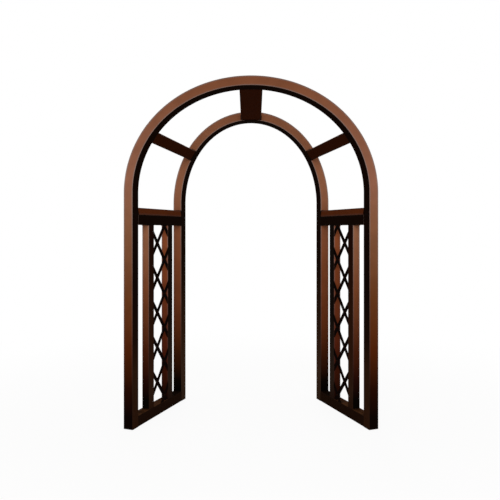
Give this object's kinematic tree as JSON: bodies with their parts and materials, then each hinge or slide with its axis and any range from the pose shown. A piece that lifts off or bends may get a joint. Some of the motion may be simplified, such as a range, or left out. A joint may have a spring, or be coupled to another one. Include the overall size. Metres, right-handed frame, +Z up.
{
  "type": "garden arch",
  "caption": "Walk-through metal garden arch: wide front hoop and narrower rear hoop joined by bars, on splayed side panels with diamond lattice, for climbing plants.",
  "frame": {"origin": "on the ground, at the middle of the arch's outer box", "axes": "+Z up; the wide front of the arch faces -Y; X runs across the opening"},
  "size_m": [1.788, 0.7896, 2.4798],
  "materials": {
    "brown_powder_coat": "satin copper-brown powder coat on steel tube",
    "lattice_powder_coat": "satin dark brown powder coat on flat steel bar",
    "fastener_paint": "brown-painted steel fasteners",
    "black_nylon": "moulded black nylon",
    "galvanised_steel": "galvanised steel sleeve, hidden inside the tubes"
  },
  "bodies": {
    "root": {"front_hoop": "brown_powder_coat", "rear_hoop": "brown_powder_coat", "crown_bar": "brown_powder_coat", "left_haunch_bar": "brown_powder_coat", "right_haunch_bar": "brown_powder_coat", "left_front_post": "brown_powder_coat", "left_rear_post": "brown_powder_coat", "left_front_upright": "brown_powder_coat", "left_rear_upright": "brown_powder_coat", "left_bottom_rail": "brown_powder_coat", "left_top_rail": "brown_powder_coat", "left_tie_rail": "brown_powder_coat", "left_lattice_rising_bars": "lattice_powder_coat", "left_lattice_falling_bars": "lattice_powder_coat", "left_lattice_rivets": "fastener_paint", "left_front_foot_cap": "black_nylon", "left_rear_foot_cap": "black_nylon", "left_front_spigot": "galvanised_steel", "left_rear_spigot": "galvanised_steel", "left_joint_screws": "fastener_paint", "right_front_post": "brown_powder_coat", "right_rear_post": "brown_powder_coat", "right_front_upright": "brown_powder_coat", "right_rear_upright": "brown_powder_coat", "right_bottom_rail": "brown_powder_coat", "right_top_rail": "brown_powder_coat", "right_tie_rail": "brown_powder_coat", "right_lattice_rising_bars": "lattice_powder_coat", "right_lattice_falling_bars": "lattice_powder_coat", "right_lattice_rivets": "fastener_paint", "right_front_foot_cap": "black_nylon", "right_rear_foot_cap": "black_nylon", "right_front_spigot": "galvanised_steel", "right_rear_spigot": "galvanised_steel", "right_joint_screws": "fastener_paint"}
  },
  "joints": []
}
